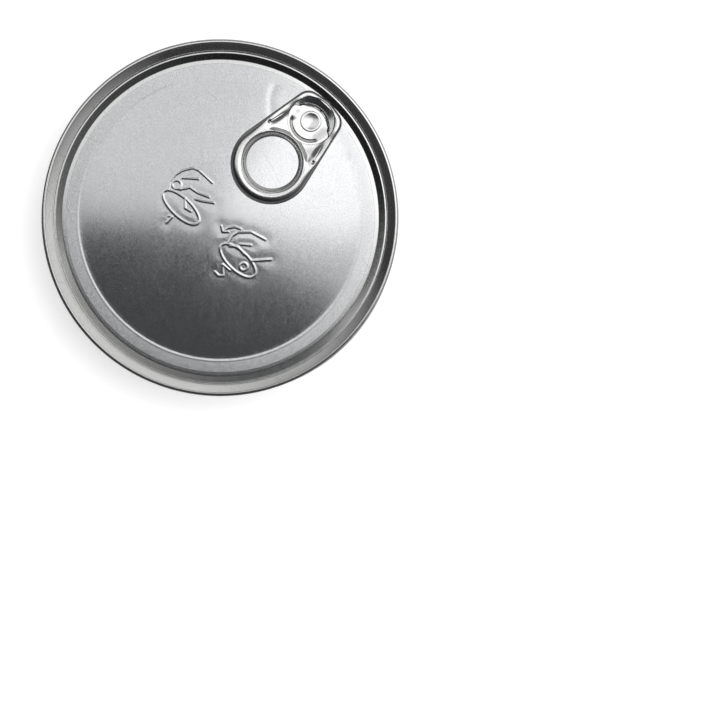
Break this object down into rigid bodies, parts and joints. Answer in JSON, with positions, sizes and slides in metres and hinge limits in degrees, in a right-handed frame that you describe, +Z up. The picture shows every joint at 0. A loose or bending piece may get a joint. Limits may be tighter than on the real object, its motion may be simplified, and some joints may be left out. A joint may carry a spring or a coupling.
{
  "type": "ring-pull nut can",
  "caption": "Ring-pull steel food can for nuts: double-seamed body, peel-off lid with embossed opening pictures, lifting pull tab, filled with cashews.",
  "frame": {"origin": "middle of the rim that the can stands on", "axes": "+Z is up; +X runs from the middle of the lid to the nose of the pull tab; both hinges turn about lines along Y"},
  "size_m": [0.0764, 0.0764, 0.086],
  "materials": {
    "body_tinplate": "bright tinplate with fine rolling grain",
    "lid_steel": "satin tinplate with fine straight rolling grain",
    "tab_steel": "bright pressed steel with rolled edges",
    "seam_compound": "dull grey-green sealing rubber",
    "cashew": "roasted cashew, dull and slightly waxy"
  },
  "bodies": {
    "can": {"can_body": "body_tinplate", "bottom_end": "body_tinplate", "top_end_ring": "body_tinplate", "top_seam_compound": "seam_compound", "bottom_seam_compound": "seam_compound", "lower_cashews": "cashew", "cashew_01": "cashew", "cashew_02": "cashew", "cashew_03": "cashew", "cashew_04": "cashew", "cashew_05": "cashew", "cashew_06": "cashew", "cashew_07": "cashew", "cashew_08": "cashew", "cashew_09": "cashew", "cashew_10": "cashew", "cashew_11": "cashew", "cashew_12": "cashew", "cashew_13": "cashew", "cashew_14": "cashew", "cashew_15": "cashew", "cashew_16": "cashew", "cashew_17": "cashew", "cashew_18": "cashew", "cashew_19": "cashew", "cashew_20": "cashew", "cashew_21": "cashew", "cashew_22": "cashew", "cashew_23": "cashew", "cashew_24": "cashew", "cashew_25": "cashew", "cashew_26": "cashew", "cashew_27": "cashew", "cashew_28": "cashew", "cashew_29": "cashew", "cashew_30": "cashew", "cashew_31": "cashew", "cashew_32": "cashew", "cashew_33": "cashew", "cashew_34": "cashew", "cashew_35": "cashew", "cashew_36": "cashew", "cashew_37": "cashew", "cashew_38": "cashew", "cashew_39": "cashew", "cashew_40": "cashew", "cashew_41": "cashew", "cashew_42": "cashew", "cashew_43": "cashew", "cashew_44": "cashew", "cashew_45": "cashew", "cashew_46": "cashew", "cashew_47": "cashew", "cashew_48": "cashew", "cashew_49": "cashew", "cashew_50": "cashew"},
    "lid": {"tear_panel": "lid_steel", "rivet": "tab_steel", "rivet_tongue": "tab_steel"},
    "tab": {"pull_tab": "tab_steel"}
  },
  "joints": [
    {"name": "lid_peel", "type": "hinge", "parent": "can", "child": "lid", "pos_m": [-0.0382, 0, 0.086], "axis": [0, -1, 0], "range_deg": [0, 105]},
    {"name": "tab_lift", "type": "hinge", "parent": "lid", "child": "tab", "pos_m": [0.0334, 0, 0.08346], "axis": [0, 1, 0], "range_deg": [0, 50]}
  ]
}
